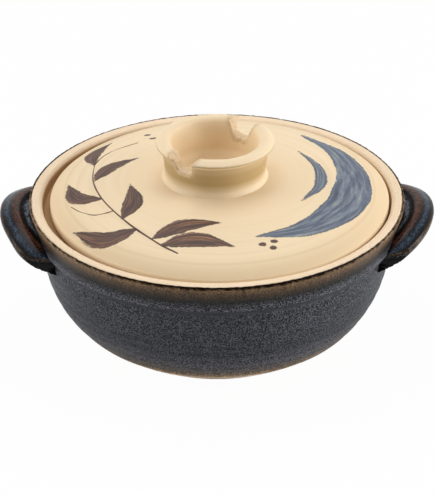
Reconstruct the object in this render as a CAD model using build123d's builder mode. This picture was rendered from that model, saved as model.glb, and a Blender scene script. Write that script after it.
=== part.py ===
from build123d import *
import math
import os

# Donabe: a round stoneware pot with two lugs and a domed lid with a ring knob.
# Millimetres. Z is up, the origin is on the table under the centre of the pot,
# the lugs lie along X, and -Y is the front.

# Pot: heights and radii of the thrown clay
pot_height = 104.0
rim_radius = 129.6
rim_land = 7.4
rim_outer_round = 1.2
rim_inner_round = 2.6

# Step inside the rim that the lid sits in
seat_depth = 7.5
seat_draft = 2.0
seat_corner_round = 1.0
seat_nose_round = 1.8

# Collar: how far the waist, the ridge and the belly under the groove stand in from the rim
waist_inset = 3.1
waist_drop = 12.5
waist_round = 16.0
ridge_inset = 3.7
ridge_drop = 20.5
ridge_round = 2.6
groove_drop = 26.5
groove_round = 1.6

# Belly and foot
belly_inset = 9.0
belly_drop = 30.0
belly_arc = 84.0
haunch_height = 19.0018
wall = 8.0
floor_thickness = 9.0
foot_radius = 75.0
foot_draft = 1.0
foot_height = 3.2
foot_ring_width = 8.0
foot_recess = 1.6
foot_edge_round = 0.8

# Glaze coats
glaze = 0.7
outer_glaze_top_drop = 1.5
outer_glaze_bottom = 12.5
inner_glaze_top_drop = 12.0

# Lugs: a bar with this section, swung in an arc whose plane rises outwards by the tilt.
# Insets run in from the outermost edge, drops run down from the rim.
ear_projection = 22.3
ear_swing_radius = 63.0
ear_tilt = 25.0
ear_edge_drop = 8.4
ear_bottom_inset = 1.2
ear_bottom_drop = 14.8
ear_crest_inset = 11.2
ear_crest_drop = 3.7
ear_trough_inset = 19.4
ear_trough_drop = 10.2
ear_root_inset = 40.0
ear_root_top_drop = 9.6
ear_root_bottom_drop = 26.0
ear_trough_round = 6.0
ear_crest_round = 7.0
ear_edge_round = 2.6
ear_bottom_round = 2.2

# Lid: dome, rolled edge and hollow
lid_play = 2.2
lid_side_clearance = 0.3
lid_apex_rise = 17.7
lid_dome_radius = 504.0
lid_shoulder_inset = 15.0
lid_edge_drop = 0.6
lid_edge_round = 3.0
lid_foot_round = 2.2
lid_rim_width = 10.0
lid_rim_lean = 4.0
lid_inner_round = 5.0
lid_wall = 6.5
steam_hole_radius = 3.5
steam_hole_offset = 58.0

# Ring knob, measured from its own axis and from the dome's apex
knob_offset = -0.9
knob_height = 27.9
knob_foot_radius = 34.6
knob_flare = 3.8
knob_seam = 0.4
knob_waist_radius = 35.7
knob_waist_height = 11.5
knob_neck_radius = 38.7
knob_neck_drop = 4.6
knob_lip_radius = 40.8
knob_lip_drop = 2.2
knob_crown_radius = 38.4
knob_well_radius = 32.6
knob_lip_inner_radius = 30.3
knob_lip_inner_drop = 2.4
knob_well_foot_radius = 25.6

# Two notches cut through the ring along one diameter
notch_angle = -35.5
notch_top_width = 22.3
notch_bottom_width = 9.5
notch_depth = 12.7
notch_round = 3.5

overrun = 2.0

# Places worked out from the sizes above
seat_height = pot_height - seat_depth
mouth_radius = rim_radius - rim_land
seat_radius = mouth_radius - seat_draft
waist_radius = rim_radius - waist_inset
ridge_radius = rim_radius - ridge_inset
belly_radius = rim_radius - belly_inset
bore_radius = belly_radius - wall
belly_height = pot_height - belly_drop
belly_centre = (belly_radius - belly_arc, belly_height)
belly_sweep = math.degrees(math.asin((belly_height - haunch_height) / belly_arc))
lid_radius = seat_radius - lid_play
lid_shift = lid_play - lid_side_clearance
lid_shoulder_radius = lid_radius - lid_shoulder_inset
apex_height = pot_height + lid_apex_rise
dome_centre = (0, apex_height - lid_dome_radius)
lid_plane = Plane(origin=(lid_shift, 0, 0), x_dir=(1, 0, 0), z_dir=(0, -1, 0))
lid_axis = Axis(origin=(lid_shift, 0, 0), direction=(0, 0, 1))
knob_plane = Plane(origin=(knob_offset, 0, apex_height), x_dir=(1, 0, 0), z_dir=(0, -1, 0))
knob_axis = Axis(origin=(knob_offset, 0, 0), direction=(0, 0, 1))

# The lugs' swing axis stands square to their tilted plane
ear_reach = rim_radius + ear_projection
ear_lean = math.radians(ear_tilt)
ear_swing_centre = (
    ear_reach - ear_swing_radius * math.cos(ear_lean),
    0,
    pot_height - ear_edge_drop - ear_swing_radius * math.sin(ear_lean),
)
ear_swing_axis = Axis(
    origin=ear_swing_centre, direction=(-math.sin(ear_lean), 0, math.cos(ear_lean))
)

profile_plane = Plane(origin=(0, 0, 0), x_dir=(0, -1, 0), z_dir=(-1, 0, 0))

# Rim outline, over the top of the rim, down the seat for the lid and into the bore
rim_points = [
    (mouth_radius, pot_height),
    (seat_radius, seat_height),
    (bore_radius, seat_height),
    (bore_radius, belly_height),
]
rim_rounds = [rim_outer_round, rim_inner_round, seat_corner_round, seat_nose_round]
collar_rounds = [groove_round, ridge_round, waist_round]


def collar_points(coat):
    """Outline of the collar from the belly up to the rim, moved out by coat."""
    return [
        (belly_radius + coat, belly_height),
        (belly_radius + coat, pot_height - groove_drop),
        (ridge_radius + coat, pot_height - ridge_drop),
        (waist_radius + coat, pot_height - waist_drop),
        (rim_radius + coat, pot_height),
    ]


def draw_belly_outside(coat):
    """Outside of the bowl, from the belly down to the top of the foot, moved out by coat."""
    belly = CenterArc(belly_centre, belly_arc + coat, 0, -belly_sweep)
    foot_top = (foot_radius + foot_draft + coat, foot_height)
    TangentArc(belly @ 1, foot_top, tangent=belly % 1)


def draw_bore(inset, top_height):
    """Inside of the bowl from top_height down to the axis, set in from the clay by inset."""
    radius = belly_arc - wall - inset
    floor_height = floor_thickness + inset
    side = CenterArc(belly_centre, radius, 0, -belly_sweep)
    lean = math.radians(belly_sweep)
    turn = ((side @ 1).Y - floor_height) / (1 - math.sin(lean))
    turn_centre = ((side @ 1).X - turn * math.cos(lean), floor_height + turn)
    CenterArc(turn_centre, turn, -belly_sweep, belly_sweep - 90)
    Line((turn_centre[0], floor_height), (0, floor_height))
    if top_height > belly_height:
        Line((bore_radius - inset, top_height), side @ 0)


def fill_outside(coat):
    """Filled outline of the outside of the bowl out to the surface of the coat."""
    with BuildSketch(profile_plane) as filled:
        with BuildLine():
            FilletPolyline(*collar_points(coat), radius=collar_rounds)
            draw_belly_outside(coat)
            Polyline(
                (foot_radius + foot_draft + coat, foot_height),
                (foot_radius + coat, 0),
                (0, 0),
                (0, pot_height),
                (rim_radius + coat, pot_height),
            )
        make_face()
    return filled.sketch_local


# Thrown bowl
with BuildPart() as pot_bowl:
    with BuildSketch(profile_plane) as bowl_section:
        with BuildLine():
            bowl_points = collar_points(0) + rim_points
            FilletPolyline(*bowl_points, radius=collar_rounds + rim_rounds)
            draw_belly_outside(0)
            Polyline(
                (foot_radius + foot_draft, foot_height),
                (foot_radius, 0),
                (foot_radius - foot_ring_width, 0),
                (foot_radius - foot_ring_width, foot_recess),
                (0, foot_recess),
                (0, floor_thickness),
            )
            draw_bore(0, belly_height)
        make_face()
        fillet(bowl_section.vertices().sort_by_distance((foot_radius, 0))[0], foot_edge_round)
    revolve(axis=Axis.Z)


# Lugs luted on the clay of the bowl, the left one a mirror of the right one
with BuildPart() as right_blank:
    with BuildSketch(Plane.XZ):
        with BuildLine():
            FilletPolyline(
                (ear_reach - ear_root_inset, pot_height - ear_root_top_drop),
                (ear_reach - ear_trough_inset, pot_height - ear_trough_drop),
                (ear_reach - ear_crest_inset, pot_height - ear_crest_drop),
                (ear_reach, pot_height - ear_edge_drop),
                (ear_reach - ear_bottom_inset, pot_height - ear_bottom_drop),
                (ear_reach - ear_root_inset, pot_height - ear_root_bottom_drop),
                radius=[ear_trough_round, ear_crest_round, ear_edge_round, ear_bottom_round],
            )
            Line(
                (ear_reach - ear_root_inset, pot_height - ear_root_bottom_drop),
                (ear_reach - ear_root_inset, pot_height - ear_root_top_drop),
            )
        make_face()
    revolve(axis=ear_swing_axis)

with BuildPart() as left_blank:
    add(right_blank.part)
    mirror(about=Plane.YZ, mode=Mode.REPLACE)

with BuildPart() as envelope:
    with BuildSketch(profile_plane):
        add(fill_outside(0))
    revolve(axis=Axis.Z)

with BuildPart() as right_ear:
    add(right_blank.part)
    add(envelope.part, mode=Mode.SUBTRACT)

with BuildPart() as left_ear:
    add(left_blank.part)
    add(envelope.part, mode=Mode.SUBTRACT)

# Iron-blue coat on the outside, open where the lugs join the clay
with BuildPart() as outer_glaze:
    with BuildSketch(profile_plane):
        add(fill_outside(glaze))
        add(fill_outside(0), mode=Mode.SUBTRACT)
        coat_top = pot_height - outer_glaze_top_drop
        with Locations((0, outer_glaze_bottom)):
            Rectangle(
                rim_radius + glaze + overrun,
                coat_top - outer_glaze_bottom,
                align=(Align.MIN, Align.MIN),
                mode=Mode.INTERSECT,
            )
    revolve(axis=Axis.Z)
    add(right_ear.part, mode=Mode.SUBTRACT)
    add(left_ear.part, mode=Mode.SUBTRACT)

# Pale coat on the cooking surface
with BuildPart() as inner_glaze:
    lining_top = pot_height - inner_glaze_top_drop
    with BuildSketch(profile_plane):
        with BuildLine():
            draw_bore(0, lining_top)
            draw_bore(glaze, lining_top)
            Line((bore_radius, lining_top), (bore_radius - glaze, lining_top))
            Line((0, floor_thickness), (0, floor_thickness + glaze))
        make_face()
    revolve(axis=Axis.Z)

# Lid dome with its rolled edge and steam hole
with BuildPart() as lid_dome:
    shoulder_turn = math.degrees(math.asin(lid_shoulder_radius / lid_dome_radius))
    edge_point = (lid_radius, pot_height - lid_edge_drop)
    under_radius = lid_dome_radius - lid_wall
    rim_inner = lid_radius - lid_rim_width
    under_edge = rim_inner - lid_rim_lean
    under_turn = math.degrees(math.asin(under_edge / under_radius))
    with BuildSketch(lid_plane) as lid_section:
        with BuildLine():
            top = CenterArc(dome_centre, lid_dome_radius, 90, -shoulder_turn)
            TangentArc(top @ 1, edge_point, tangent=top % 1)
            under = CenterArc(dome_centre, under_radius, 90, -under_turn)
            Polyline(
                edge_point,
                (lid_radius, seat_height),
                (rim_inner, seat_height),
                under @ 1,
            )
            Line(under @ 0, top @ 0)
        make_face()
        corners = lid_section.vertices()
        fillet(corners.sort_by_distance(edge_point)[0], lid_edge_round)
        corners = lid_section.vertices()
        fillet(corners.sort_by_distance((lid_radius, seat_height))[0], lid_foot_round)
        corners = lid_section.vertices()
        fillet(corners.sort_by_distance((rim_inner, seat_height))[0], lid_foot_round)
        corners = lid_section.vertices()
        fillet(corners.sort_by_distance(under @ 1)[0], lid_inner_round)
    revolve(axis=lid_axis)
    with Locations((lid_shift, steam_hole_offset, apex_height)):
        Hole(radius=steam_hole_radius)

# Ring knob luted on the dome
with BuildPart() as knob_ring:
    base = -lid_wall / 2
    flare_level = knob_seam - (knob_foot_radius + knob_flare) ** 2 / (2 * lid_dome_radius)
    flare_edge = (knob_foot_radius + knob_flare, flare_level)
    well_edge = (knob_well_foot_radius - knob_flare, knob_seam)
    with BuildSketch(knob_plane):
        with BuildLine():
            flare = TangentArc(
                (knob_foot_radius, flare_level + knob_flare), flare_edge, tangent=(0, -1)
            )
            ThreePointArc(
                flare @ 0,
                (knob_waist_radius, knob_waist_height),
                (knob_neck_radius, knob_height - knob_neck_drop),
            )
            ThreePointArc(
                (knob_neck_radius, knob_height - knob_neck_drop),
                (knob_lip_radius, knob_height - knob_lip_drop),
                (knob_crown_radius, knob_height),
            )
            Line((knob_crown_radius, knob_height), (knob_well_radius, knob_height))
            TangentArc(
                (knob_well_radius, knob_height),
                (knob_lip_inner_radius, knob_height - knob_lip_inner_drop),
                tangent=(-1, 0),
            )
            Line(
                (knob_lip_inner_radius, knob_height - knob_lip_inner_drop),
                (knob_well_foot_radius, knob_seam + knob_flare),
            )
            TangentArc(
                (knob_well_foot_radius, knob_seam + knob_flare), well_edge, tangent=(0, -1)
            )
            Polyline(well_edge, (well_edge[0], base), (flare_edge[0], base), flare_edge)
        make_face()
    revolve(axis=knob_axis)
    add(lid_dome.part, mode=Mode.SUBTRACT)
    heading = math.radians(notch_angle)
    notch_plane = Plane(
        origin=(knob_offset, 0, apex_height + knob_height - notch_depth),
        x_dir=(math.cos(heading), math.sin(heading), 0),
        z_dir=(math.sin(heading), -math.cos(heading), 0),
    )
    with BuildSketch(notch_plane) as notch:
        lean = (notch_top_width - notch_bottom_width) / 2 / notch_depth
        mouth = notch_top_width / 2 + lean * overrun
        with BuildLine():
            Polyline(
                (-notch_bottom_width / 2, 0),
                (notch_bottom_width / 2, 0),
                (mouth, notch_depth + overrun),
                (-mouth, notch_depth + overrun),
                close=True,
            )
        make_face()
        fillet(notch.vertices().group_by(Axis.Y)[0], notch_round)
    extrude(amount=knob_lip_radius + overrun, both=True, mode=Mode.SUBTRACT)

# Finished pieces
pot_bowl.part.label = "pot_bowl"
outer_glaze.part.label = "outer_glaze"
inner_glaze.part.label = "inner_glaze"
left_ear.part.label = "left_ear"
right_ear.part.label = "right_ear"
lid_dome.part.label = "lid_dome"
knob_ring.part.label = "knob_ring"

os.makedirs("parts", exist_ok=True)
export_step(pot_bowl.part, "parts/pot_bowl.step")
export_step(outer_glaze.part, "parts/outer_glaze.step")
export_step(inner_glaze.part, "parts/inner_glaze.step")
export_step(left_ear.part, "parts/left_ear.step")
export_step(right_ear.part, "parts/right_ear.step")
export_step(lid_dome.part, "parts/lid_dome.step")
export_step(knob_ring.part, "parts/knob_ring.step")
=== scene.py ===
import math
from functools import partial

import bpy
import numpy as np
from mathutils import Matrix, Vector, noise


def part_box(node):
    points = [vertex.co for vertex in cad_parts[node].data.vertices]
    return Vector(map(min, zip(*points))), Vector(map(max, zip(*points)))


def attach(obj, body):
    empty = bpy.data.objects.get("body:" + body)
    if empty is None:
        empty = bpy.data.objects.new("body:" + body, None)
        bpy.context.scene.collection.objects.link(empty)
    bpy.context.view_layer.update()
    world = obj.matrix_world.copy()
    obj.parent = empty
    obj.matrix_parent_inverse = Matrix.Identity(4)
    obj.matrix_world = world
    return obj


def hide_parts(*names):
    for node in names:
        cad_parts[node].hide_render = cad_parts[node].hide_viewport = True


bl_info = {
    "name": "Donabe clay pot",
    "version": (1, 0, 0),
    "blender": (4, 5, 0),
    "location": "View3D > Sidebar > Donabe",
    "description": "Glazes, lugs, lid and brushwork for a thrown stoneware donabe",
    "category": "Object",
}

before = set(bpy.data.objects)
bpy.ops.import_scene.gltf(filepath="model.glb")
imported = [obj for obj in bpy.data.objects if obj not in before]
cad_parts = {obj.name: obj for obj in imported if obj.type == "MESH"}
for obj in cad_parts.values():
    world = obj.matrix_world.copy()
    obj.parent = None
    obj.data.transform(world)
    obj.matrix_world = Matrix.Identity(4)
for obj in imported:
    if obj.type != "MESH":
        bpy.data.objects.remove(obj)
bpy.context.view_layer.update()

# Heights, axes and the lid's radius in metres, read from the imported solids
RIM_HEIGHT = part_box("pot_bowl")[1].z
GLAZE_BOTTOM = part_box("outer_glaze")[0].z
lid_low, lid_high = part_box("lid_dome")
LID_SEAT = lid_low.z
LID_AXIS = (lid_low.x + lid_high.x) / 2
LID_RADIUS = (lid_high.x - lid_low.x) / 2
knob_low, knob_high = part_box("knob_ring")
KNOB_TOP = knob_high.z
KNOB_AXIS = (knob_low.x + knob_high.x) / 2

# The photograph's frame in pixels
PHOTO_WIDTH = 435
PHOTO_HEIGHT = 495


class DonabePot(bpy.types.PropertyGroup):
    """Sizes of the thrown and glazed pot"""

    ring_steps: bpy.props.IntProperty(
        name="Ring steps", description="Faces round the glaze coat", default=384, min=64
    )
    coat: bpy.props.FloatProperty(
        name="Glaze coat",
        description="Thickness of the blue glaze on the clay",
        default=0.0007,
        unit="LENGTH",
    )
    crust_wander: bpy.props.FloatProperty(
        name="Crust wander",
        description="How far the glaze's upper edge wanders up and down",
        default=0.0003,
        unit="LENGTH",
    )
    throwing_depth: bpy.props.FloatProperty(
        name="Throwing depth",
        description="Depth of the finger rings left on the outside",
        default=0.00018,
        unit="LENGTH",
    )
    lug_grain: bpy.props.FloatProperty(
        name="Lug grain",
        description="Size of the cells that soften the lugs' edges",
        default=0.0011,
        unit="LENGTH",
    )


class DonabeLid(bpy.types.PropertyGroup):
    """Sizes of the lid and its knob"""

    dome_radius: bpy.props.FloatProperty(
        name="Dome radius", description="Radius of the dome's crown", default=0.504, unit="LENGTH"
    )
    apex_height: bpy.props.FloatProperty(
        name="Apex height",
        description="Height of the dome's apex over the table",
        default=RIM_HEIGHT + 0.0177,
        unit="LENGTH",
    )
    knob_grain: bpy.props.FloatProperty(
        name="Knob grain",
        description="Size of the cells that soften the knob's edges",
        default=0.0008,
        unit="LENGTH",
    )
    notch_crumble: bpy.props.FloatProperty(
        name="Notch crumble",
        description="Roughness of the torn clay in the knob's notches",
        default=0.0007,
        unit="LENGTH",
    )


class DonabeColours(bpy.types.PropertyGroup):
    """Colours of the clays, glazes and brushwork"""

    cream: bpy.props.StringProperty(
        name="Cream slip", description="Body colour of the lid", default="#F3DDB8"
    )
    clay: bpy.props.StringProperty(
        name="Bare clay", description="Unglazed rim and foot", default="#F0D6B2"
    )
    blue: bpy.props.StringProperty(
        name="Slate glaze", description="Glaze where it is thick", default="#2F3136"
    )
    brown: bpy.props.StringProperty(
        name="Brown glaze", description="Glaze where it thins at the rim", default="#745A3E"
    )
    cobalt: bpy.props.StringProperty(
        name="Cobalt brush", description="Broad blue strokes on the lid", default="#545E70"
    )
    iron: bpy.props.StringProperty(
        name="Iron brush", description="Leaves and stems on the lid", default="#43291D"
    )


class DonabeStage(bpy.types.PropertyGroup):
    """Camera and studio"""

    distance: bpy.props.FloatProperty(
        name="Camera distance",
        description="From the lens to the middle of the rim",
        default=1.8,
        unit="LENGTH",
    )
    elevation: bpy.props.FloatProperty(
        name="Sight line",
        description="Slope of the line from the lens to the middle of the rim",
        default=math.radians(27.7),
        subtype="ANGLE",
    )
    roll: bpy.props.FloatProperty(
        name="Roll",
        description="Lean of the camera round its own axis",
        default=math.radians(-0.4),
        subtype="ANGLE",
    )
    surround: bpy.props.FloatProperty(
        name="Surround", description="Light from the white surround on the object", default=0.4
    )
    paper_glow: bpy.props.FloatProperty(
        name="Paper glow",
        description="Share of plain white in the paper as the camera sees it",
        default=0.97,
    )
    pixel_scale: bpy.props.FloatProperty(
        name="Pixels per millimetre",
        description="Scale of the photograph at the middle of the rim",
        default=1.4355,
    )
    rim_centre: bpy.props.FloatVectorProperty(
        name="Rim centre",
        description="Its place in the frame, in pixels",
        size=2,
        default=(217.2, 195.5),
    )


# Outlines


def swing_points(centre, spoke, turns):
    """Where the end of a spoke gets to as it swings about a centre by each turn in radians."""
    out = []
    for turn in turns:
        c, s = math.cos(turn), math.sin(turn)
        out.append(tuple(centre + (spoke[0] * c - spoke[1] * s, spoke[0] * s + spoke[1] * c)))
    return out


def bend_corners(points, rounds, step=0.9):
    """A polyline in millimetres with each inner corner rounded to its radius."""
    out = [points[0]]
    for before, corner, after, radius in zip(points, points[1:], points[2:], rounds):
        a = np.subtract(before, corner).astype(float)
        b = np.subtract(after, corner).astype(float)
        ua = a / np.linalg.norm(a)
        ub = b / np.linalg.norm(b)
        half = math.acos(float(np.clip(np.dot(ua, ub), -1, 1))) / 2
        if radius <= 0 or half > math.pi / 2 - 1e-4:
            out.append(corner)
            continue
        reach = radius / math.tan(half)
        centre = np.add(corner, (ua + ub) / np.linalg.norm(ua + ub) * radius / math.sin(half))
        start = np.add(corner, ua * reach) - centre
        end = np.add(corner, ub * reach) - centre
        sweep = math.atan2(start[0] * end[1] - start[1] * end[0], float(np.dot(start, end)))
        count = max(3, int(abs(sweep) * radius / step) + 1)
        out += swing_points(centre, start, np.linspace(0, sweep, count))
    out.append(points[-1])
    return out


def arc_points(centre, radius, start, end, step=1.0):
    """Points on an arc in millimetres between two angles in degrees."""
    count = max(4, int(abs(math.radians(end - start)) * radius / step) + 1)
    turns = np.radians(np.linspace(start, end, count))
    return [(centre[0] + radius * math.cos(t), centre[1] + radius * math.sin(t)) for t in turns]


def arc_from(start, heading, end, step=1.0):
    """Points on the arc that leaves start along heading and ends at end."""
    chord = np.subtract(end, start)
    length = float(np.linalg.norm(chord))
    turn = math.atan2(heading[0] * chord[1] - heading[1] * chord[0], float(np.dot(heading, chord)))
    radius = length / (2 * math.sin(turn))
    normal = np.array((-heading[1], heading[0])) / np.linalg.norm(heading)
    centre = np.add(start, normal * radius)
    spoke = np.subtract(start, centre)
    count = max(4, int(abs(2 * turn * radius) / step) + 1)
    return swing_points(centre, spoke, np.linspace(0, 2 * turn, count))


def even_out(points, step):
    """The same outline with no stretch longer than step."""
    out = [points[0]]
    for a, b in zip(points, points[1:]):
        length = math.dist(a, b)
        if length < 1e-4:
            continue
        count = math.ceil(length / step)
        for i in range(1, count + 1):
            out.append((a[0] + (b[0] - a[0]) * i / count, a[1] + (b[1] - a[1]) * i / count))
    return out


def outside_points(coat):
    """Outside of the bowl from the rim down to the foot, moved out by coat, in millimetres."""
    # The collar leans in from the rim, and steps in to the waist
    corners = ((129.6, 104.0), (126.5, 91.5), (125.9, 83.5), (120.6, 77.5), (120.6, 74.0))
    collar = bend_corners([(out + coat, up) for out, up in corners], [16.0, 2.6, 1.6])
    # The belly turns in by so many degrees, and a flatter arc goes on to the foot
    turn = 40.9
    belly = arc_points((36.6, 74.0), 84.0 + coat, 0.0, -turn)
    heading = (-math.sin(math.radians(turn)), -math.cos(math.radians(turn)))
    return collar[:-1] + belly + arc_from(belly[-1], heading, (76.0 + coat, 3.2))[1:]


def lid_points(lid):
    """The lid's closed outline in millimetres from its own axis, crown first."""
    apex = lid.apex_height * 1000
    crown = lid.dome_radius * 1000
    centre = (0.0, apex - crown)
    # The lid's rolled edge tops out 0.6 mm under the rim
    edge = (LID_RADIUS * 1000, RIM_HEIGHT * 1000 - 0.6)
    seat = LID_SEAT * 1000
    # The crown ends 103 mm out, where the shoulder begins
    turn = math.degrees(math.asin(103.0 / crown))
    top = arc_points(centre, crown, 90.0, 90.0 - turn)
    heading = (math.cos(math.radians(turn)), -math.sin(math.radians(turn)))
    shoulder = arc_from(top[-1], heading, edge, 0.8)
    # The rolled edge stands 10 mm wide on the seat
    foot = bend_corners(
        [shoulder[-2], edge, (edge[0], seat), (edge[0] - 10, seat), (edge[0] - 14, seat + 7.4)],
        [3.0, 2.2, 2.2],
        0.6,
    )
    # The dome is 6.5 mm thick
    inside = crown - 6.5
    under_turn = math.degrees(math.asin((edge[0] - 20) / inside))
    under = arc_points(centre, inside, 90.0 - under_turn, 90.0, 4.0)
    top[0] = (0.0, top[0][1])
    under[-1] = (0.0, under[-1][1])
    return top + shoulder[1:-2] + even_out(foot, 1.5) + under


def knob_points(lid):
    """The ring knob's closed outline in millimetres from its own axis, standing in the dome."""
    apex = lid.apex_height * 1000
    corners = [(38.6, -4.5), (34.9, 2.0), (35.2, 9.0), (36.4, 16.5), (38.0, 22.4)]
    corners += [(41.5, 23.9), (41.0, 25.4), (37.0, 27.5), (33.4, 27.6), (30.9, 25.4)]
    corners += [(29.7, 21.0), (26.6, 5.0), (20.0, -4.5)]
    rounds = [3.5, 20.0, 20.0, 1.5, 0.8, 2.0, 5.0, 4.0, 4.0, 12.0, 5.0]
    outline = bend_corners(corners, rounds, 0.7)
    return [(r, apex + z) for r, z in even_out(outline, 0.9)]


# Mesh building


def only(thing):
    """Selects one object and makes it active."""
    bpy.ops.object.select_all(action="DESELECT")
    thing.select_set(True)
    bpy.context.view_layer.objects.active = thing


def spin_outline(name, outline, steps, axis_x=0.0):
    """A closed outline in millimetres, spun once round a standing axis."""
    bpy.ops.mesh.primitive_circle_add(vertices=len(outline), radius=0.01, location=(0, 0, 0))
    made = bpy.context.object
    made.name = name
    made.data.name = name
    move_to(made, [(axis_x + r / 1000, 0.0, z / 1000) for r, z in outline])
    bpy.ops.object.mode_set(mode="EDIT")
    bpy.ops.mesh.select_all(action="SELECT")
    bpy.ops.mesh.spin(steps=steps, angle=2 * math.pi, center=(axis_x, 0, 0), axis=(0, 0, 1))
    bpy.ops.mesh.select_all(action="SELECT")
    bpy.ops.mesh.remove_doubles(threshold=1e-6)
    bpy.ops.mesh.delete_loose()
    bpy.ops.mesh.select_all(action="SELECT")
    bpy.ops.mesh.normals_make_consistent(inside=False)
    bpy.ops.object.mode_set(mode="OBJECT")
    return made


def merged_copy(node, name):
    """A copy of a CAD node with its loose triangles joined, at the same place."""
    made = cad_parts[node].copy()
    made.data = made.data.copy()
    # The node's own marks and its tie to the body stay with the node
    for key in list(made.keys()):
        del made[key]
    made.parent = None
    made.name = name
    made.data.name = name
    bpy.context.scene.collection.objects.link(made)
    only(made)
    bpy.ops.object.mode_set(mode="EDIT")
    bpy.ops.mesh.select_all(action="SELECT")
    bpy.ops.mesh.remove_doubles(threshold=2e-6)
    bpy.ops.object.mode_set(mode="OBJECT")
    return made


def apply_modifier(thing, kind, **settings):
    """Adds one modifier and applies it."""
    only(thing)
    modifier = thing.modifiers.new(kind.title(), kind)
    for key, value in settings.items():
        setattr(modifier, key, value)
    bpy.ops.object.modifier_apply(modifier=modifier.name)


def places_of(thing):
    """The vertices of a mesh as an array in metres."""
    places = np.empty(len(thing.data.vertices) * 3)
    thing.data.vertices.foreach_get("co", places)
    return places.reshape(-1, 3)


def move_to(thing, places):
    """Puts the vertices of a mesh at the places of an array."""
    thing.data.vertices.foreach_set("co", np.ascontiguousarray(places).ravel())
    thing.data.update()


def normals_of(thing):
    """The vertex normals of a mesh as an array."""
    normals = np.empty(len(thing.data.vertices) * 3)
    thing.data.vertex_normals.foreach_get("vector", normals)
    return normals.reshape(-1, 3)


def keep_values(thing, name, values):
    """Stores one number per vertex under a name that materials read."""
    layer = thing.data.attributes.new(name, "FLOAT", "POINT")
    layer.data.foreach_set("value", np.ascontiguousarray(values, dtype=np.float32))


def smooth_by_angle(thing, degrees=40):
    """Smooth shading with sharp edges kept above an angle."""
    only(thing)
    bpy.ops.object.shade_smooth_by_angle(angle=math.radians(degrees))


def dome_height(lid, x, y):
    """Height of the lid's crown over the table at a place in metres."""
    square = (x - LID_AXIS) ** 2 + y**2
    return lid.apex_height - lid.dome_radius + math.sqrt(lid.dome_radius**2 - square)


def fade(values, start, end):
    """A share that goes from 0 at start to 1 at end, on either side of it."""
    return np.clip((values - start) / (end - start), 0, 1)


def soft_noise(turn, seed, waves):
    """A smooth periodic noise of the angle turn, about -1 to 1."""
    dice = np.random.default_rng(seed)
    total = np.zeros_like(turn)
    for wave in waves:
        total += dice.uniform(0.4, 1.0) * np.sin(wave * turn + dice.uniform(0, 2 * math.pi))
    return total / (1.12 * math.sqrt(len(waves)))


def cut_away(thing, cutter):
    """Cuts one object out of another and removes the cutter."""
    apply_modifier(thing, "BOOLEAN", operation="DIFFERENCE", solver="EXACT", object=cutter)
    bpy.data.objects.remove(cutter)


def brush_path(points, widths):
    """A smooth path through points, its half widths and the run along it, all in millimetres."""
    points = np.array(points, float)
    ends = np.vstack((2 * points[0] - points[1], points, 2 * points[-1] - points[-2]))
    path = []
    for a, b, c, d in zip(ends, ends[1:], ends[2:], ends[3:]):
        bow = 2 * a - 5 * b + 4 * c - d
        twist = 3 * b - a - 3 * c + d
        for t in np.linspace(0, 1, 24, endpoint=False):
            path.append(0.5 * (2 * b + (c - a) * t + bow * t * t + twist * t**3))
    path.append(points[-1])
    path = np.array(path)
    run = np.concatenate(([0.0], np.cumsum(np.hypot(*np.diff(path, axis=0).T))))
    share = np.linspace(0, 1, len(widths))
    half = np.interp(run / run[-1], share, widths) / 2
    return path, half, run


# What stands for the depth in a stroke, in millimetres, on a spot that none comes near
BARE_DEPTH = -9.0


def paint_strokes(spots, strokes):
    """For spots in millimetres: depth in the nearest stroke, place across and run along it."""
    depth = np.full(len(spots), BARE_DEPTH)
    across = np.zeros(len(spots))
    along = np.zeros(len(spots))
    for path, half, run in strokes:
        low = path.min(axis=0) - 20
        high = path.max(axis=0) + 20
        near = np.nonzero(np.all((spots > low) & (spots < high), axis=1))[0]
        gap = spots[near][:, None, :] - path[None, :, :]
        inside = half[None, :] - np.hypot(gap[..., 0], gap[..., 1])
        best = inside.argmax(axis=1)
        rows = np.arange(len(near))
        value = inside[rows, best]
        tangent = np.gradient(path, axis=0)[best]
        tangent /= np.linalg.norm(tangent, axis=1)[:, None]
        offset = gap[rows, best]
        side = tangent[:, 0] * offset[:, 1] - tangent[:, 1] * offset[:, 0]
        better = value > depth[near]
        picked = near[better]
        depth[picked] = value[better]
        across[picked] = (side / np.maximum(half[best], 0.5))[better]
        along[picked] = run[best][better] + path[0][0]
    return depth, across, along


def finish_piece(thing, body, material, replaced=()):
    """Gives a piece its material and ties it to its body."""
    thing.data.materials.clear()
    thing.data.materials.append(material)
    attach(thing, body)
    if replaced:
        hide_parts(*replaced)


# Materials


def linear(code):
    """Turns an sRGB hex colour into linear light."""
    values = [int(code[i : i + 2], 16) / 255 for i in (1, 3, 5)]
    light = [v / 12.92 if v <= 0.04045 else ((v + 0.055) / 1.055) ** 2.4 for v in values]
    return (*light, 1.0)


def add_node(tree, kind, feeds=None, out=0, stops=None, **settings):
    """Adds a shader node, feeds it sockets, hex colours or numbers, and gives one output."""
    made = tree.nodes.new(f"ShaderNode{kind}")
    for key, value in settings.items():
        setattr(made, key, value)
    for key, value in (feeds or {}).items():
        if isinstance(value, bpy.types.NodeSocket):
            tree.links.new(value, made.inputs[key])
        else:
            made.inputs[key].default_value = linear(value) if isinstance(value, str) else value
    if stops:
        ramp = made.color_ramp
        while len(ramp.elements) < len(stops):
            ramp.elements.new(0.5)
        for element, (place, colour) in zip(ramp.elements, stops):
            element.position = place
            element.color = linear(colour)
    return made.outputs[out] if len(made.outputs) else made


def new_material(name):
    """An empty node material, what adds nodes to it, and the place that patterns read."""
    made = bpy.data.materials.new(name)
    made.use_nodes = True
    made.node_tree.nodes.clear()
    add = partial(add_node, made.node_tree)
    return made, add, add("TexCoord", out="Object")


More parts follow.
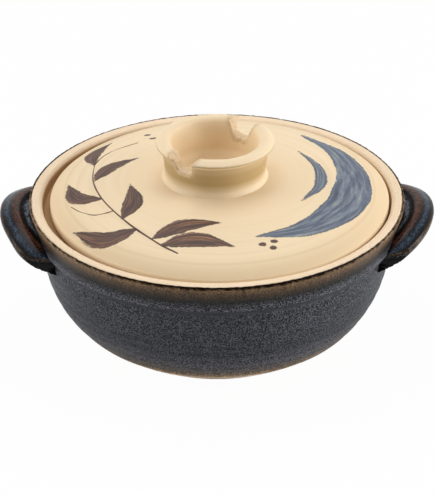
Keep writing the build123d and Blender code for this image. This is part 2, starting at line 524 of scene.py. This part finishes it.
def iron_blue_glaze(colours):
    """Semi-matte iron glaze of the pot's outside, slate with fine pale crystals.

    It thins to brown at the rim and to tan over the foot, and its upper edge
    gathers in a nearly black crust.
    """
    material, add, place = new_material("Iron-blue stoneware glaze")
    height = add("SeparateXYZ", {"Vector": place}, out="Z")
    # Crystals drawn 1 mm across, coarser than real, so that they show in the render
    specks = add("TexNoise", {"Vector": place, "Scale": 1000.0, "Detail": 3.0, "Roughness": 0.7})
    # Clouds of thicker and thinner glaze, about 60 mm wide and 12 mm high, left by the turning
    cloud_place = add("Mapping", {"Vector": place, "Scale": (16.0, 16.0, 85.0)})
    cloud = add("TexNoise", {"Vector": cloud_place, "Scale": 1.0, "Detail": 4.0})
    # Runs about 4 mm wide and 14 mm long
    runs_place = add("Mapping", {"Vector": place, "Scale": (260.0, 260.0, 70.0)})
    runs = add("TexNoise", {"Vector": runs_place, "Scale": 1.0, "Detail": 3.0})
    sway = add("MapRange", {"Value": runs, "To Min": -0.0018, "To Max": 0.0018})
    level = add("Math", {0: height, 1: sway}, operation="ADD")
    share = add("MapRange", {"Value": level, "From Max": RIM_HEIGHT})
    # Colour from the foot up to the rim; the stops are heights over the rim's height
    bands = [
        (0.140, "#CFB590"),
        (0.165, "#80694F"),
        (0.215, "#4C4641"),
        (0.290, "#414248"),
        (0.420, colours.blue),
        (0.770, colours.blue),
        # Painted shade where the collar's ridge turns under, then a painted highlight along the
        # ridge
        (0.795, "#26262A"),
        (0.812, "#3F4046"),
        (0.845, "#2C2C30"),
        (0.872, "#19191A"),
        (0.895, "#2A2218"),
        (0.940, "#503E2B"),
        (0.980, colours.brown),
    ]
    tone = add("ValToRGB", {"Fac": share}, stops=bands)
    # Specks are strong in the slate and weak in the brown band
    calm = add(
        "MapRange",
        {"Value": share, "From Min": 0.86, "From Max": 0.9, "To Min": 1.0, "To Max": 0.35},
    )
    spread = add(
        "MapRange",
        {"Value": specks, "From Min": 0.46, "From Max": 0.59, "To Min": -1.0, "To Max": 3.3},
    )
    clouds = add(
        "MapRange",
        {"Value": cloud, "From Min": 0.35, "From Max": 0.65, "To Min": 0.74, "To Max": 1.1},
    )
    shade = add("Math", {0: spread, 1: calm, 2: clouds}, operation="MULTIPLY_ADD")
    speckled = add("VectorMath", {0: tone, 3: shade}, operation="SCALE")
    crust = add("Attribute", out="Fac", attribute_name="crust")
    colour = add("Mix", {0: crust, 6: speckled, 7: "#140903"}, out=2, data_type="RGBA")
    polish = add(
        "MapRange",
        {"Value": specks, "From Min": 0.3, "From Max": 0.7, "To Min": 0.34, "To Max": 0.5},
    )
    relief = add("Bump", {"Height": specks, "Strength": 0.3, "Distance": 0.0005})
    # The crust is burnt dull
    sheen = add("MapRange", {"Value": crust, "To Min": 0.27, "To Max": 0.04})
    surface = add(
        "BsdfPrincipled",
        {
            "Base Color": colour,
            "Roughness": polish,
            "IOR": 1.5,
            "Specular IOR Level": sheen,
            "Normal": relief,
        },
    )
    add("OutputMaterial", {"Surface": surface})
    return material


def pooled_glaze():
    """The same glaze where it pools on the lugs: glossy and nearly black.

    It breaks red-brown over the crest and tan over the outer edge.
    """
    material, add, place = new_material("Pooled iron-blue glaze")
    inset = add("Attribute", out="Fac", attribute_name="inset")
    # The bands sway in waves about 7 mm wide
    wander = add("TexNoise", {"Vector": place, "Scale": 150.0, "Detail": 3.0})
    sway = add("MapRange", {"Value": wander, "To Min": -0.08, "To Max": 0.08})
    share = add("Math", {0: inset, 1: sway}, operation="ADD")
    # Colour from the outer edge in to the collar, 25 mm
    bands = [
        (0.00, "#54422F"),
        (0.05, "#1B130D"),
        (0.12, "#0A0B0D"),
        (0.22, "#2A3644"),
        (0.31, "#09090B"),
        (0.40, "#341A10"),
        (0.48, "#4A2A1C"),
        (0.57, "#120C0A"),
        (0.67, "#1E242C"),
        # A painted highlight along the trough by the collar
        (0.76, "#6A747E"),
        (0.84, "#1A1714"),
        (1.00, "#0A0908"),
    ]
    tone = add("ValToRGB", {"Fac": share}, stops=bands)
    # Crystals drawn 1.1 mm across, as coarse as they need to show
    specks = add("TexNoise", {"Vector": place, "Scale": 900.0, "Detail": 2.5, "Roughness": 0.6})
    shade = add(
        "MapRange",
        {"Value": specks, "From Min": 0.4, "From Max": 0.62, "To Min": 0.2, "To Max": 2.6},
    )
    colour = add("VectorMath", {0: tone, 3: shade}, operation="SCALE")
    relief = add("Bump", {"Height": wander, "Strength": 0.35, "Distance": 0.0006})
    surface = add(
        "BsdfPrincipled",
        {
            "Base Color": colour,
            "Roughness": 0.2,
            "IOR": 1.5,
            "Specular IOR Level": 0.14,
            "Normal": relief,
        },
    )
    add("OutputMaterial", {"Surface": surface})
    return material


def bare_clay(name, colour, warm, dark, finish, seat=None):
    """Fired clay, or a thin pale glaze on it, with a fine sandy grain, as rough as its finish.

    Down on the seat inside the rim it takes the colour of painted shade, if one is given.
    """
    material, add, place = new_material(name)
    # Sand drawn 0.9 mm across, coarser than real, and blushes of the kiln some 40 mm wide
    grain = add("TexNoise", {"Vector": place, "Scale": 1100.0, "Detail": 3.0})
    blush = add("TexNoise", {"Vector": place, "Scale": 25.0, "Detail": 3.0})
    base = add("Mix", {0: blush, 6: colour, 7: warm}, out=2, data_type="RGBA")
    if seat:
        # Painted shade in the narrow gallery: it covers the seat, between the rim's unshaded edge
        # and the unshaded foot under 60 mm
        height = add("SeparateXYZ", {"Vector": place}, out="Z")
        low, high = RIM_HEIGHT - 0.0035, RIM_HEIGHT - 0.0015
        above = add("MapRange", {"Value": height, "From Min": low, "From Max": high})
        below = add(
            "MapRange",
            {"Value": height, "From Min": 0.06, "From Max": 0.061, "To Min": 1.0, "To Max": 0.0},
        )
        unshaded = add("Math", {0: above, 1: below}, operation="MAXIMUM")
        base = add("Mix", {0: unshaded, 6: seat, 7: base}, out=2, data_type="RGBA")
    pits = add(
        "MapRange",
        {"Value": grain, "From Min": 0.3, "From Max": 0.42, "To Min": 0.35, "To Max": 0.0},
    )
    speckled = add("Mix", {0: pits, 6: base, 7: dark}, out=2, data_type="RGBA")
    relief = add("Bump", {"Height": grain, "Strength": 0.3, "Distance": 0.0004})
    surface = add(
        "BsdfPrincipled",
        {"Base Color": speckled, "Roughness": finish, "IOR": 1.45, "Normal": relief},
    )
    add("OutputMaterial", {"Surface": surface})
    return material


def slip_ground(add, place, colours, blush_scale):
    """The cream slip's fine grain, its colour with warmer blushes, and its relief."""
    # Sand drawn 1.1 mm across, coarser than real, so that it shows
    grain = add("TexNoise", {"Vector": place, "Scale": 900.0, "Detail": 3.0})
    blush = add("TexNoise", {"Vector": place, "Scale": blush_scale, "Detail": 3.0})
    tone = add("Mix", {0: blush, 6: colours.cream, 7: "#F0D6B0"}, out=2, data_type="RGBA")
    relief = add("Bump", {"Height": grain, "Strength": 0.2, "Distance": 0.0003})
    return grain, tone, relief


def cream_slip(colours):
    """Cream slip on the lid, satin, with cobalt and iron brushwork soaked into it."""
    material, add, place = new_material("Cream slip with brushwork")
    # Blushes of the kiln some 55 mm wide
    _, painted, relief = slip_ground(add, place, colours, 18.0)
    # Painted shade on the finger rings and the shoulder: faint tan lines round the lid and a tan
    # band towards the edge
    crest = add("Attribute", out="Fac", attribute_name="ring")
    painted = add("Mix", {0: crest, 6: painted, 7: "#C9A877"}, out=2, data_type="RGBA")
    # The brushed colour bleeds unevenly, in steps about 2.4 mm wide
    bleed = add("TexNoise", {"Vector": place, "Scale": 420.0, "Detail": 2.0})
    shake = add("MapRange", {"Value": bleed, "To Min": -0.9, "To Max": 0.9})
    blues = [(0.30, "#30374A"), (0.46, colours.cobalt), (0.58, "#7A848E"), (0.72, "#9C9D8E")]
    browns = [(0.34, "#22120C"), (0.48, colours.iron), (0.60, "#7A523A"), (0.72, "#B28A62")]
    # For each brush how far its hairs miss the clay, its gathered edge and its colours
    for brush, gaps, edge, stops in (
        ("cobalt", 2.6, "#333946", blues),
        ("iron", 1.0, "#24120E", browns),
    ):
        depth, across, along = (
            add("Attribute", out="Fac", attribute_name=f"{brush}_{part}")
            for part in ("depth", "across", "along")
        )
        # Hairs of the brush, seven across a stroke with finer ones between, some 33 mm long
        spot = add("CombineXYZ", {"X": across, "Y": along})
        spot = add("Mapping", {"Vector": spot, "Scale": (3.4, 0.03, 1.0)})
        hairs = add("TexNoise", {"Vector": spot, "Scale": 1.0, "Detail": 4.0, "Roughness": 0.65})
        # Dry hairs miss the clay, and the edge of a stroke bleeds by about 0.5 mm
        dry = add("MapRange", {"Value": hairs, "From Min": 0.54, "From Max": 0.74, "To Max": gaps})
        wet = add("Math", {0: depth, 1: shake}, operation="ADD")
        wet = add("Math", {0: wet, 1: dry}, operation="SUBTRACT")
        cover = add("MapRange", {"Value": wet, "From Min": -0.2, "From Max": 0.5})
        ink = add("ValToRGB", {"Fac": hairs}, stops=stops)
        # Pigment gathers along the edge of a stroke
        gather = add(
            "MapRange",
            {"Value": depth, "From Min": 0.3, "From Max": 1.5, "To Min": 0.65, "To Max": 0.0},
        )
        ink = add("Mix", {0: gather, 6: ink, 7: edge}, out=2, data_type="RGBA")
        painted = add("Mix", {0: cover, 6: painted, 7: ink}, out=2, data_type="RGBA")
    surface = add(
        "BsdfPrincipled", {"Base Color": painted, "Roughness": 0.5, "IOR": 1.48, "Normal": relief}
    )
    add("OutputMaterial", {"Surface": surface})
    return material


def torn_slip(colours):
    """Cream slip of the knob, bare and crumbly where the notches were torn through it."""
    material, add, place = new_material("Cream slip with torn edges")
    # Blushes of the kiln some 33 mm wide
    grain, base, relief = slip_ground(add, place, colours, 30.0)
    # Painted shade on the knob's standing wall, darker and yellower
    wall = add("Attribute", out="Fac", attribute_name="wall")
    base = add("Mix", {0: wall, 6: base, 7: "#BC9F6C"}, out=2, data_type="RGBA")
    torn = add("Attribute", out="Fac", attribute_name="torn")
    share = add("Math", {0: torn, 1: grain}, operation="MULTIPLY")
    colour = add("Mix", {0: share, 6: base, 7: "#C8A67A"}, out=2, data_type="RGBA")
    surface = add(
        "BsdfPrincipled", {"Base Color": colour, "Roughness": 0.5, "IOR": 1.48, "Normal": relief}
    )
    add("OutputMaterial", {"Surface": surface})
    return material


def iron_line():
    """Iron-oxide line, drawn thin with a pointed brush, matte and uneven."""
    material, add, place = new_material("Iron-oxide brush line")
    # The brush empties and fills again over about 6 mm
    load = add("TexNoise", {"Vector": place, "Scale": 160.0, "Detail": 3.0})
    colour = add("ValToRGB", {"Fac": load}, stops=[(0.35, "#2A1511"), (0.65, "#6A4637")])
    surface = add("BsdfPrincipled", {"Base Color": colour, "Roughness": 0.6, "IOR": 1.48})
    add("OutputMaterial", {"Surface": surface})
    return material


# Operators


# The bead along the glaze's upper edge, in millimetres out from the axis and up from the rim.
# It stands 0.3 mm proud of the coat
BEAD = ((129.0, -0.6), (129.3, -0.1), (129.9, -0.1), (130.4, -0.6), (130.6, -1.6), (130.3, -2.6))
# Finger rings on the pot: their spacing and how far under the rim they begin, in metres
POT_RINGS = 0.0075
RINGS_BELOW = 0.028
# How far the belly stands out on the left, and how far the bead swells, in metres
BELLY_BULGE = 0.0014
BEAD_SWELL = 0.00018
# The dark crust's width at the sides, what the front adds to it and how far it frays, in metres
CRUST_SIDES = 0.0009
CRUST_FRONT = 0.0013
CRUST_FRAY = 0.0008


class DONABE_OT_glaze(bpy.types.Operator):
    """Spins the blue coat over the outside of the pot, with its wandering upper edge"""

    bl_idname = "donabe.glaze"
    bl_label = "Glaze the pot"

    def execute(self, context):
        pot = context.scene.donabe_pot
        coat = pot.coat * 1000
        top = RIM_HEIGHT * 1000
        # The coat begins 2.5 mm above the solid's, and its back lies 0.4 mm in the clay
        foot = GLAZE_BOTTOM * 1000 + 2.5
        outer = [p for p in outside_points(coat) if foot + 1 <= p[1] <= top - 3.4]
        inner = [p for p in outside_points(-0.4) if foot <= p[1] <= top - 2.4]
        bead = [(out, top + up) for out, up in BEAD]
        outline = bead + even_out(outer, 1.2) + inner[::-1]
        made = spin_outline("glaze_coat", outline, pot.ring_steps)
        places = places_of(made)
        turn = np.arctan2(places[:, 1], places[:, 0])
        reach = np.hypot(places[:, 0], places[:, 1])
        # Finger rings that climb round the belly and fade in over 17 mm
        begin = RIM_HEIGHT - RINGS_BELOW
        rings = np.sin(places[:, 2] * 2 * math.pi / POT_RINGS + turn)
        rings *= fade(places[:, 2], begin, begin - 0.05 / 3)
        rings *= pot.throwing_depth * (reach > 0.1)
        # The belly is out of round, from under the collar to over the foot
        belly = fade(places[:, 2], 0.08, 0.072) * fade(places[:, 2], 0.016, 0.031)
        places[:, 0] -= BELLY_BULGE * belly * np.clip(-np.cos(turn), 0, 1)
        # The bead swells and wanders down and up round the rim, by 0.2 mm at most upwards
        edge = fade(places[:, 2], RIM_HEIGHT - 0.0045, RIM_HEIGHT - 0.0015)
        lift = soft_noise(turn, 5, (3, 7, 19, 41, 67, 97, 131, 173)) * pot.crust_wander
        swell = soft_noise(turn, 8, (13, 37, 83, 127, 149, 167)) * BEAD_SWELL
        places[:, 0] += np.cos(turn) * (rings + swell * edge)
        places[:, 1] += np.sin(turn) * (rings + swell * edge)
        places[:, 2] += np.minimum(lift, 0.0002) * edge
        move_to(made, places)
        drop = RIM_HEIGHT - places[:, 2]
        width = CRUST_SIDES + CRUST_FRONT * np.clip(-np.sin(turn), 0, 1) ** 3
        width += soft_noise(turn, 21, (2, 5, 29, 61, 89, 113, 157, 181)) * CRUST_FRAY
        keep_values(made, "crust", fade(width - drop, 0, CRUST_FRAY))
        smooth_by_angle(made)
        material = iron_blue_glaze(context.scene.donabe_colours)
        finish_piece(made, "pot", material, ["outer_glaze"])
        return {"FINISHED"}


# A lug is a bar swung about a leaning axis, in metres: radius of the swing, its lean, reach and
# drop under the rim of the section's outer edge before it is rounded, and the section's width
LUG_SWING = 0.063
LUG_LEAN = math.radians(25.0)
LUG_REACH = 0.1519
LUG_DROP = 0.0084
LUG_WIDTH = 0.025
# For each lug how far its front end is pushed out, where the end meets the collar and the
# length it rounds over
LUG_ENDS = {"left": (0.0028, -0.054, 0.01), "right": (0.0, -0.053, 0.012)}
# The rounding starts in the collar's wall, this far out, and goes out by so much
LUG_ROOT = 0.1185
LUG_ROUND = 0.0315


class DONABE_OT_lugs(bpy.types.Operator):
    """Softens the two lugs and marks how far in from the outer edge each spot lies"""

    bl_idname = "donabe.lugs"
    bl_label = "Finish the lugs"

    def execute(self, context):
        pot = context.scene.donabe_pot
        material = pooled_glaze()
        outward = np.array((math.cos(LUG_LEAN), 0, math.sin(LUG_LEAN)))
        upward = np.array((-math.sin(LUG_LEAN), 0, math.cos(LUG_LEAN)))
        centre = np.array((LUG_REACH, 0, RIM_HEIGHT - LUG_DROP)) - LUG_SWING * outward
        for side, (fuller, end, run) in LUG_ENDS.items():
            made = merged_copy(f"{side}_ear", f"{side}_lug")
            apply_modifier(made, "REMESH", mode="VOXEL", voxel_size=pot.lug_grain)
            apply_modifier(made, "SMOOTH", factor=0.5, iterations=6)
            places = places_of(made)
            # Each spot is swung back to the section, to know how far in from its edge it lies
            spots = places.copy()
            spots[:, 0] = np.abs(spots[:, 0])
            spots -= centre
            swing = np.hypot(spots @ outward, spots[:, 1])
            inset = (LUG_SWING - swing) * outward[0] - (spots @ upward) * upward[0]
            under = normals_of(made)[:, 2] < -0.25
            keep_values(made, "inset", np.where(under, 1.0, fade(inset, 0, LUG_WIDTH)))
            # Pressed on by hand: the front ends are cut short, and the left lug is fuller
            # about a place 47 mm in front of the axis
            reach = np.hypot(places[:, 0], places[:, 1])
            push = fuller * np.exp(-(((places[:, 1] + 0.047) / 0.011) ** 2))
            swollen = reach + push * fade(reach, 0.125, 0.131)
            along = fade(places[:, 1], end, end + run)
            limit = np.where(along < 1, LUG_ROOT + LUG_ROUND * np.sqrt(along), 1.0)
            places[:, :2] *= (np.minimum(swollen, limit) / reach)[:, None]
            move_to(made, places)
            smooth_by_angle(made, 60)
            finish_piece(made, "pot", material, [f"{side}_ear"])
        return {"FINISHED"}


class DONABE_OT_clay(bpy.types.Operator):
    """Gives the bare rim, seat and foot of the pot their sandy clay, and its inside a pale glaze"""

    bl_idname = "donabe.clay"
    bl_label = "Finish the bare clay"

    def execute(self, context):
        clay = context.scene.donabe_colours.clay
        # The last colour of the bare clay is painted shade on the seat down in the gallery
        bare = ("Bare fired stoneware", clay, "#F8E2C6", "#B98F66", 0.8, "#A9845A")
        lining = ("Pale lining glaze", "#D9C6A2", "#CDB78E", "#8F7A58", 0.25)
        for node, looks in (("pot_bowl", bare), ("inner_glaze", lining)):
            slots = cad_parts[node].data.materials
            slots.clear()
            slots.append(bare_clay(*looks))
        return {"FINISHED"}


# Brushwork on the lid, in millimetres from the axis of the pot, X to the right and Y to the
# back: points along each stroke, then its widths
MOON_STROKES = (
    (((26, -80), (60, -67), (87, -34), (95, 8), (86, 46), (62, 76)), (2, 16, 25, 28, 23, 14, 3)),
    (((58, -34), (71, -11), (71, 17), (58, 42)), (1.5, 6, 9, 8, 5, 1.5)),
)
LEAF_STROKES = (
    (((-37, -87), (-14, -83), (12, -91)), (2, 12, 17, 14, 7, 0.8)),
    (((-43, -79), (-22, -67), (4, -65)), (2, 11, 15, 13, 6, 0.8)),
    (((-54, -67), (-76, -74), (-98, -57)), (2, 12, 16, 13, 6, 0.8)),
    (((-64, -53), (-57, -33), (-60, -8)), (2, 10.5, 15, 12, 5.5, 0.8)),
    (((-79, -24), (-96, -18), (-104, 6)), (2, 10.5, 14, 11, 5, 0.8)),
    (((-85, 4), (-74, 22), (-54, 33)), (1.8, 10, 13.5, 11, 5, 0.8)),
    (((-86, 30), (-88, 48), (-75, 70)), (1.6, 8.5, 12, 10, 4, 0.8)),
)
STEM_LINES = (
    (
        ((-26, -97), (-42, -82), (-62, -56), (-78, -26), (-86, 4), (-86, 32)),
        (0.8, 0.8, 0.7, 0.6, 0.5, 0.35),
    ),
    (((-70, -42), (-82, -44), (-92, -38), (-100, -28)), (0.55, 0.45, 0.35, 0.25)),
    (((-86, 30), (-80, 44), (-70, 54), (-56, 62)), (0.5, 0.42, 0.34, 0.25)),
)
BERRY_SPOTS = ((-46, 68), (-39, 75), (-50, 77), (30, -88), (38, -84), (37, -91))

# Steam hole in the lid: its radius and how far behind the axis it lies, in metres
HOLE_RADIUS = 0.0035
HOLE_PLACE = 0.058
# Faces round the lid
LID_STEPS = 448
# Finger rings on the lid: their spacing and depth in metres
LID_RINGS = 0.0085
LID_RING_DEPTH = 0.00012
# Painted shade lines round the lid, for the finger rings' shading: radius in metres and strength
LID_SHADE_LINES = ((0.0875, 0.10), (0.0985, 0.16), (0.1075, 0.22), (0.0705, 0.07))
# How far the lid's front edge stands out, in metres, and how strong the painted shade gets at the
# edge
LID_BULGE = 0.003
PAINTED_EDGE_SHADE = 0.34


class DONABE_OT_lid(bpy.types.Operator):
    """Spins the lid, drills its steam hole and lays the brushwork out on it"""

    bl_idname = "donabe.lid"
    bl_label = "Finish the lid"

    def execute(self, context):
        lid = context.scene.donabe_lid
        made = spin_outline("lid_slip", lid_points(lid), LID_STEPS, LID_AXIS)
        hole = (LID_AXIS, HOLE_PLACE, lid.apex_height)
        bpy.ops.mesh.primitive_cylinder_add(
            vertices=48, radius=HOLE_RADIUS, depth=0.06, location=hole
        )
        cut_away(made, context.object)
        places = places_of(made)
        reach = np.hypot(places[:, 0] - LID_AXIS, places[:, 1])
        turn = np.arctan2(places[:, 1], places[:, 0] - LID_AXIS)
        upper = normals_of(made)[:, 2] > 0.3
        # The lid dried a little out of round
        front = np.clip(-np.sin(turn), 0, 1) ** 1.5
        places[:, 1] -= fade(reach, 0.09, 0.118) * front * LID_BULGE
        # Shallow finger rings that climb in a spiral
        rings = np.sin(reach * 2 * math.pi / LID_RINGS - turn)
        rings *= fade(reach, 0.05, 0.08) * fade(reach, 0.112, 0.102)
        places[:, 2] += upper * rings * LID_RING_DEPTH
        move_to(made, places)
        ring_shade = np.zeros(len(places))
        for radius, strength in LID_SHADE_LINES:
            wobble = radius + soft_noise(turn, int(radius * 1e4), (1, 2, 3)) * 0.0006
            ring_shade += strength * np.exp(-(((reach - wobble) / 0.0009) ** 2))
        # Painted shade on the shoulder, darker towards the edge
        ring_shade += PAINTED_EDGE_SHADE * fade(reach, 0.1, 0.113)
        # The ring attribute holds the painted shade
        keep_values(made, "ring", upper * ring_shade)
        spots = places[:, :2] * 1000
        dabs = tuple((((x - 0.6, y), (x + 0.6, y + 0.3)), (4.0, 4.6)) for x, y in BERRY_SPOTS)
        for name, strokes in (("cobalt", MOON_STROKES), ("iron", LEAF_STROKES + dabs)):
            paths = [brush_path(*stroke) for stroke in strokes]
            depth, across, along = paint_strokes(spots, paths)
            keep_values(made, f"{name}_depth", np.where(upper, depth, BARE_DEPTH))
            keep_values(made, f"{name}_across", across)
            keep_values(made, f"{name}_along", along)
        smooth_by_angle(made)
        material = cream_slip(context.scene.donabe_colours)
        finish_piece(made, "lid", material, ["lid_dome"])
        return {"FINISHED"}


# Faces round the knob
KNOB_STEPS = 256
# The two notches in the knob, in metres: their heading, the width of the cut at its bottom,
# how many times wider it is at its top, and its depth under the knob's top
NOTCH_HEADING = math.radians(-37.0)
NOTCH_WIDTH = 0.0105
NOTCH_FLARE = 2.55
NOTCH_DEPTH = 0.0127
# Radius of the knob's well, and depth of the finger dents in the knob, in metres
WELL_RADIUS = 0.0325
FINGER_DENTS = 0.00035


class DONABE_OT_knob(bpy.types.Operator):
    """Spins the ring knob, cuts its two notches and crumbles their torn edges"""

    bl_idname = "donabe.knob"
    bl_label = "Finish the knob"

    def execute(self, context):
        lid = context.scene.donabe_lid
        made = spin_outline("ring_knob", knob_points(lid), KNOB_STEPS, KNOB_AXIS)
        aim = np.array((math.cos(NOTCH_HEADING), math.sin(NOTCH_HEADING)))
        bottom = KNOB_TOP - NOTCH_DEPTH
        # The cutter is a bar across the knob, 20 mm high, that widens upwards
        bpy.ops.mesh.primitive_cube_add(
            size=1, location=(KNOB_AXIS, 0, bottom + 0.01), rotation=(0, 0, NOTCH_HEADING)
        )
        notch = context.object
        notch.scale = (NOTCH_WIDTH, 0.1, 0.02)
        bpy.ops.object.transform_apply(location=False, rotation=True, scale=True)
        corners = places_of(notch)
        wider = np.where(corners[:, 2] > 0, NOTCH_FLARE - 1, 0.0) * (corners[:, :2] @ aim)
        corners[:, :2] += wider[:, None] * aim
        move_to(notch, corners)
        apply_modifier(notch, "BEVEL", width=0.0028, segments=4)
        cut_away(made, notch)
        apply_modifier(made, "REMESH", mode="VOXEL", voxel_size=lid.knob_grain)
        apply_modifier(made, "SMOOTH", factor=0.5, iterations=3)
        places = places_of(made)
        normals = normals_of(made)
        off_x = places[:, 0] - KNOB_AXIS
        across = np.abs(off_x * aim[0] + places[:, 1] * aim[1])
        above = places[:, 2] - bottom
        # The clay is torn along the notches' walls, which lean out as they rise, and bottoms
        wall = 0.0053 + np.clip(above, 0, NOTCH_DEPTH) * 0.46
        torn = np.exp(-(((across - wall) / 0.0022) ** 2)) * fade(above, -0.003, 0)
        torn = np.maximum(torn, (across < wall) * (np.abs(above) < 0.003))
        # Crumbs about 2.4 mm across, and dents of the fingers about 17 mm wide
        crumbs = np.array([noise.fractal(Vector(p) * 420, 0.6, 2.2, 4) for p in places.tolist()])
        wobble = np.array([noise.noise(Vector(p) * 60) for p in places.tolist()])
        shift = torn * crumbs * lid.notch_crumble + wobble * FINGER_DENTS
        move_to(made, places + normals * shift[:, None])
        keep_values(made, "torn", torn)
        # Painted shade on the standing outside wall, darker and yellower, and hardly any in the
        # well
        rise = (places[:, 2] - lid.apex_height) / (KNOB_TOP - lid.apex_height)
        wall_shade = fade(np.abs(normals[:, 2]), 0.55, 0.15)
        wall_shade *= np.where(np.hypot(off_x, places[:, 1]) > WELL_RADIUS, 1.0, 0.1)
        keep_values(made, "wall", wall_shade * fade(rise, 0.04, 0.29) * (1 - torn))
        smooth_by_angle(made, 60)
        material = torn_slip(context.scene.donabe_colours)
        finish_piece(made, "lid", material, ["knob_ring"])
        return {"FINISHED"}


class DONABE_OT_brushwork(bpy.types.Operator):
    """Draws the thin stems of the brushwork on the dome"""

    bl_idname = "donabe.brushwork"
    bl_label = "Draw the stems"

    def execute(self, context):
        lid = context.scene.donabe_lid
        made = bpy.data.curves.new("stem_lines", "CURVE")
        made.dimensions = "3D"
        made.bevel_depth = 0.001
        made.bevel_resolution = 2
        made.use_fill_caps = True
        for points, radii in STEM_LINES:
            path, half, _ = brush_path(points, [2 * r for r in radii])
            spline = made.splines.new("POLY")
            spline.points.add(len(path) - 1)
            for point, (x, y), radius in zip(spline.points, path / 1000, half):
                # Each line lies in the slip and stands a little proud of it
                z = dome_height(lid, x, y) - radius * 0.0003
                point.co = (x, y, z, 1.0)
                point.radius = radius
        thing = bpy.data.objects.new("stem_lines", made)
        context.scene.collection.objects.link(thing)
        only(thing)
        bpy.ops.object.convert(target="MESH")
        finish_piece(context.object, "lid", iron_line())
        return {"FINISHED"}


class DONABE_OT_stage(bpy.types.Operator):
    """Sets up the floor, the soft lamps, the white surround and the camera"""

    bl_idname = "donabe.stage"
    bl_label = "Set the stage"

    def execute(self, context):
        stage = context.scene.donabe_stage
        bpy.ops.mesh.primitive_plane_add(size=12, location=(0, 0, 0))
        floor = context.object
        floor.name = "floor"
        material, add, place = new_material("White studio paper")
        seen = add("LightPath", out="Is Camera Ray")
        # Pulp clouds in the paper, about 20 mm across and barely to be seen
        pulp = add("TexNoise", {"Vector": place, "Scale": 50.0})
        tint = add("Mix", {0: pulp, 6: "#E6E6E6", 7: "#E9E8E7"}, out=2, data_type="RGBA")
        paper = add("BsdfDiffuse", {"Color": tint})
        glow = add("Emission", {"Color": "#FFFFFF", "Strength": 1.0})
        share = add("Math", {0: seen, 1: stage.paper_glow}, operation="MULTIPLY")
        mixed = add("MixShader", {0: share, 1: paper, 2: glow})
        add("OutputMaterial", {"Surface": mixed})
        floor.data.materials.append(material)
        for name, place, size, power in (
            ("Top softbox", (-0.2, 0.45, 2.0), 1.5, 15.5),
            ("Left softbox", (-1.6, -0.15, 0.75), 1.1, 13.5),
            ("Right softbox", (1.6, -0.25, 0.5), 1.1, 22.0),
        ):
            bpy.ops.object.light_add(type="AREA", location=place)
            lamp = context.object
            lamp.name = name
            lamp.data.size = size
            lamp.data.energy = power
            aim = Vector((0, 0, 0.06)) - Vector(place)
            lamp.rotation_euler = aim.to_track_quat("-Z", "Y").to_euler()
        world = bpy.data.worlds.new("White surround")
        world.use_nodes = True
        context.scene.world = world
        world.node_tree.nodes.clear()
        add = partial(add_node, world.node_tree)
        seen = add("LightPath", out="Is Camera Ray")
        mirrored = add("LightPath", out="Is Glossy Ray")
        direct = add("Math", {0: seen, 1: mirrored}, operation="MAXIMUM")
        # The surround is dim on the side of the lens and bright behind the pot
        heading = add("TexCoord", out="Generated")
        depth = add("SeparateXYZ", {"Vector": heading}, out="Y")
        dim, full = stage.surround * 0.2, stage.surround * 1.5
        around = add("MapRange", {"Value": depth, "From Min": -1.0, "To Min": dim, "To Max": full})
        strength = add("MapRange", {"Value": direct, "To Min": around, "To Max": 1.0})
        back = add("Background", {"Color": "#FFFFFF", "Strength": strength})
        add("OutputWorld", {"Surface": back})
        # The lens and the sight line follow from the rim's place and scale in the frame
        pull = stage.pixel_scale * stage.distance * 1000
        rise = math.atan((PHOTO_HEIGHT / 2 - stage.rim_centre[1]) / pull)
        side = (PHOTO_WIDTH / 2 - stage.rim_centre[0]) / pull * stage.distance
        place = Vector((side, -stage.distance * math.cos(stage.elevation), 0))
        place.z = RIM_HEIGHT + stage.distance * math.sin(stage.elevation)
        pitch = math.pi / 2 - stage.elevation - rise
        lean = Matrix.Rotation(pitch, 3, "X") @ Matrix.Rotation(stage.roll, 3, "Z")
        bpy.ops.object.camera_add(location=place, rotation=lean.to_euler())
        camera = context.object
        camera.data.sensor_width = 36.0
        camera.data.lens = camera.data.sensor_width * pull / PHOTO_HEIGHT
        camera.data.clip_end = 50
        context.scene.camera = camera
        context.scene.view_settings.view_transform = "Standard"
        return {"FINISHED"}


class DONABE_PT_sidebar(bpy.types.Panel):
    """Lists the steps and their sizes"""

    bl_idname = "DONABE_PT_sidebar"
    bl_label = "Donabe"
    bl_space_type = "VIEW_3D"
    bl_region_type = "UI"
    bl_category = "Donabe"

    def draw(self, context):
        for name, group in GROUPS.items():
            box = self.layout.box()
            for key in group.__annotations__:
                box.prop(getattr(context.scene, name), key)
        for step in STEPS:
            self.layout.operator(step.bl_idname)


GROUPS = {
    "donabe_pot": DonabePot,
    "donabe_lid": DonabeLid,
    "donabe_colours": DonabeColours,
    "donabe_stage": DonabeStage,
}
STEPS = (
    DONABE_OT_glaze,
    DONABE_OT_lugs,
    DONABE_OT_clay,
    DONABE_OT_lid,
    DONABE_OT_knob,
    DONABE_OT_brushwork,
    DONABE_OT_stage,
)


def register():
    for name, group in GROUPS.items():
        bpy.utils.register_class(group)
        setattr(bpy.types.Scene, name, bpy.props.PointerProperty(type=group))
    for step in (*STEPS, DONABE_PT_sidebar):
        bpy.utils.register_class(step)


def unregister():
    for step in reversed((*STEPS, DONABE_PT_sidebar)):
        bpy.utils.unregister_class(step)
    for name, group in reversed(GROUPS.items()):
        delattr(bpy.types.Scene, name)
        bpy.utils.unregister_class(group)


def main():
    register()
    bpy.ops.donabe.glaze()
    bpy.ops.donabe.lugs()
    bpy.ops.donabe.clay()
    bpy.ops.donabe.lid()
    bpy.ops.donabe.knob()
    bpy.ops.donabe.brushwork()
    bpy.ops.donabe.stage()


if __name__ == "__main__":
    main()
